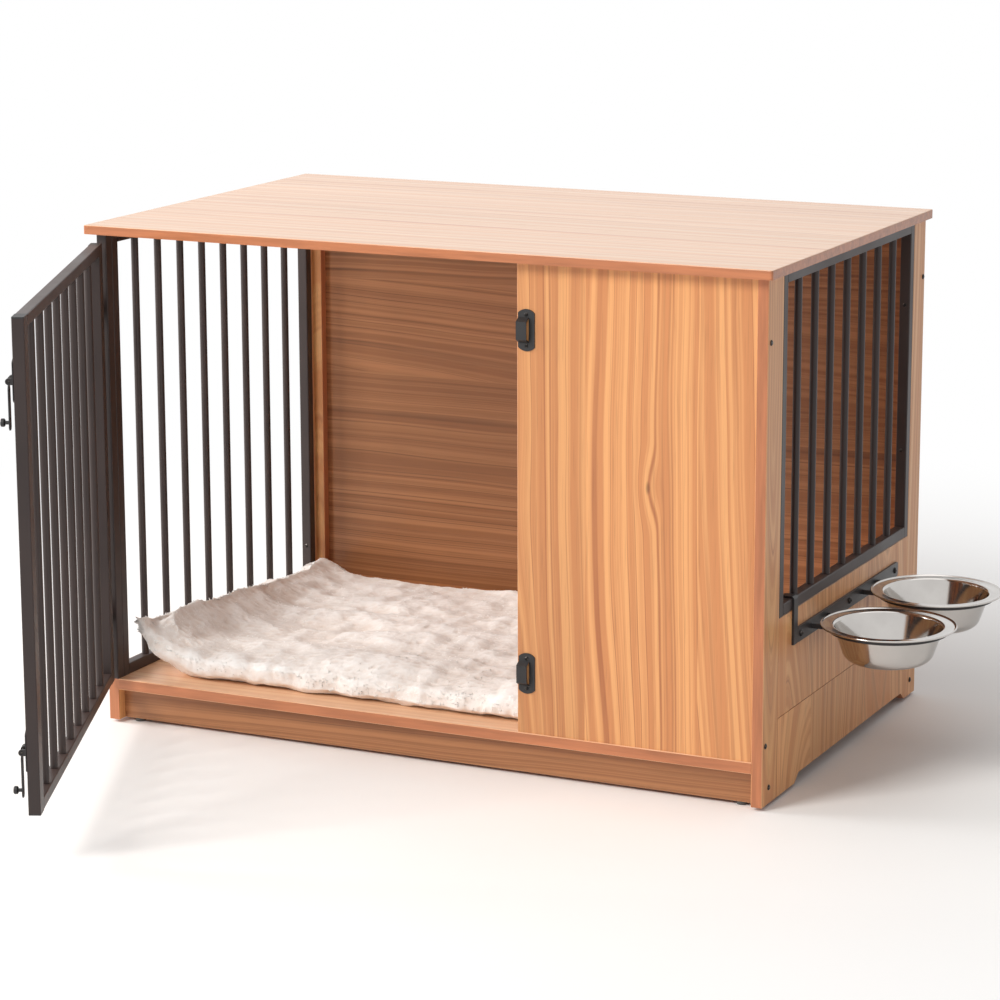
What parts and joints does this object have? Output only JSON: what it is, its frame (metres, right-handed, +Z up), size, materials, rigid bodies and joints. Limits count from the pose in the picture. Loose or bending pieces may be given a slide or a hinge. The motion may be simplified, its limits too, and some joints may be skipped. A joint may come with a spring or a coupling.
{
  "type": "dog crate end table",
  "caption": "Wood-faced dog crate end table with barred sides, a barred swing door with slide-bolt latches, a fixed front panel, a side bowl holder and a fleece pad",
  "frame": {"origin": "on the floor, at the centre of the cabinet footprint", "axes": "+X to the right along the front, +Y to the back, +Z up"},
  "size_m": [1.1557, 1.1723, 0.69],
  "materials": {
    "wood": "honey oak laminate, satin",
    "steel_frame": "matt black powder coat",
    "black_steel": "black powder coat, satin",
    "plastic": "black moulded plastic",
    "fastener": "black zinc",
    "bowl_steel": "polished steel",
    "fleece": "off-white fleece"
  },
  "bodies": {
    "cabinet": {"table_top": "wood", "back_panel": "wood", "floor_board": "wood", "front_panel": "wood", "front_kickboard": "wood", "rear_kickboard": "wood", "floor_support": "wood", "right_front_stile": "wood", "right_rear_stile": "wood", "right_upper_board": "wood", "right_lower_board": "wood", "left_base_board": "wood", "left_rear_stile": "wood", "rear_corner_batten": "wood", "right_grille_front_post": "steel_frame", "right_grille_rear_post": "steel_frame", "right_grille_bottom_rail": "steel_frame", "right_grille_top_rail": "steel_frame", "right_grille_bars": "steel_frame", "left_grille_front_post": "steel_frame", "left_grille_rear_post": "steel_frame", "left_grille_bottom_rail": "steel_frame", "left_grille_top_rail": "steel_frame", "left_grille_bars": "steel_frame", "hinge_post": "steel_frame", "hinge_leaves": "black_steel", "hinge_pins": "fastener", "hinge_leaf_screws": "fastener", "latch_keepers": "black_steel", "keeper_screws": "fastener", "bowl_holder_bar": "black_steel", "bowl_holder_hook": "black_steel", "bowl_holder_screws": "fastener", "front_bowl_ring": "black_steel", "rear_bowl_ring": "black_steel", "side_screws": "fastener", "grille_screws": "fastener", "floor_glides": "plastic", "fleece_pad": "fleece"},
    "door": {"door_hinge_stile": "steel_frame", "door_free_stile": "steel_frame", "door_bottom_rail": "steel_frame", "door_top_rail": "steel_frame", "door_bars": "steel_frame", "door_stile_caps": "plastic", "hinge_straps": "black_steel", "latch_plates": "black_steel", "latch_lugs": "black_steel", "door_hardware_screws": "fastener"},
    "front_bowl_loose": {"front_bowl": "bowl_steel"},
    "rear_bowl_loose": {"rear_bowl": "bowl_steel"},
    "lower_bolt": {"lower_latch_bolt": "black_steel"},
    "lower_handle": {"lower_latch_handle": "black_steel"},
    "upper_bolt": {"upper_latch_bolt": "black_steel"},
    "upper_handle": {"upper_latch_handle": "black_steel"}
  },
  "joints": [
    {"name": "door_swing", "type": "hinge", "parent": "cabinet", "child": "door", "pos_m": [-0.485, -0.2965, 0.3655], "axis": [0, 0, 1], "range_deg": [-68.5, 66.5]},
    {"name": "lower_bolt_slide", "type": "slide", "parent": "door", "child": "lower_bolt", "axis": [0.3987, -0.9171, 0], "range_m": [0, 0.012]},
    {"name": "lower_handle_lift", "type": "hinge", "parent": "lower_bolt", "child": "lower_handle", "pos_m": [-0.24907, -0.8569, 0.142], "axis": [-0.3987, 0.9171, 0], "range_deg": [0, 90]},
    {"name": "upper_bolt_slide", "type": "slide", "parent": "door", "child": "upper_bolt", "axis": [0.3987, -0.9171, 0], "range_m": [0, 0.012]},
    {"name": "upper_handle_lift", "type": "hinge", "parent": "upper_bolt", "child": "upper_handle", "pos_m": [-0.24907, -0.8569, 0.591], "axis": [-0.3987, 0.9171, 0], "range_deg": [0, 90]},
    {"name": "front_bowl_lift", "type": "slide", "parent": "cabinet", "child": "front_bowl_loose", "axis": [0, 0, 1], "range_m": [0, 0.08]},
    {"name": "rear_bowl_lift", "type": "slide", "parent": "cabinet", "child": "rear_bowl_loose", "axis": [0, 0, 1], "range_m": [0, 0.08]}
  ]
}
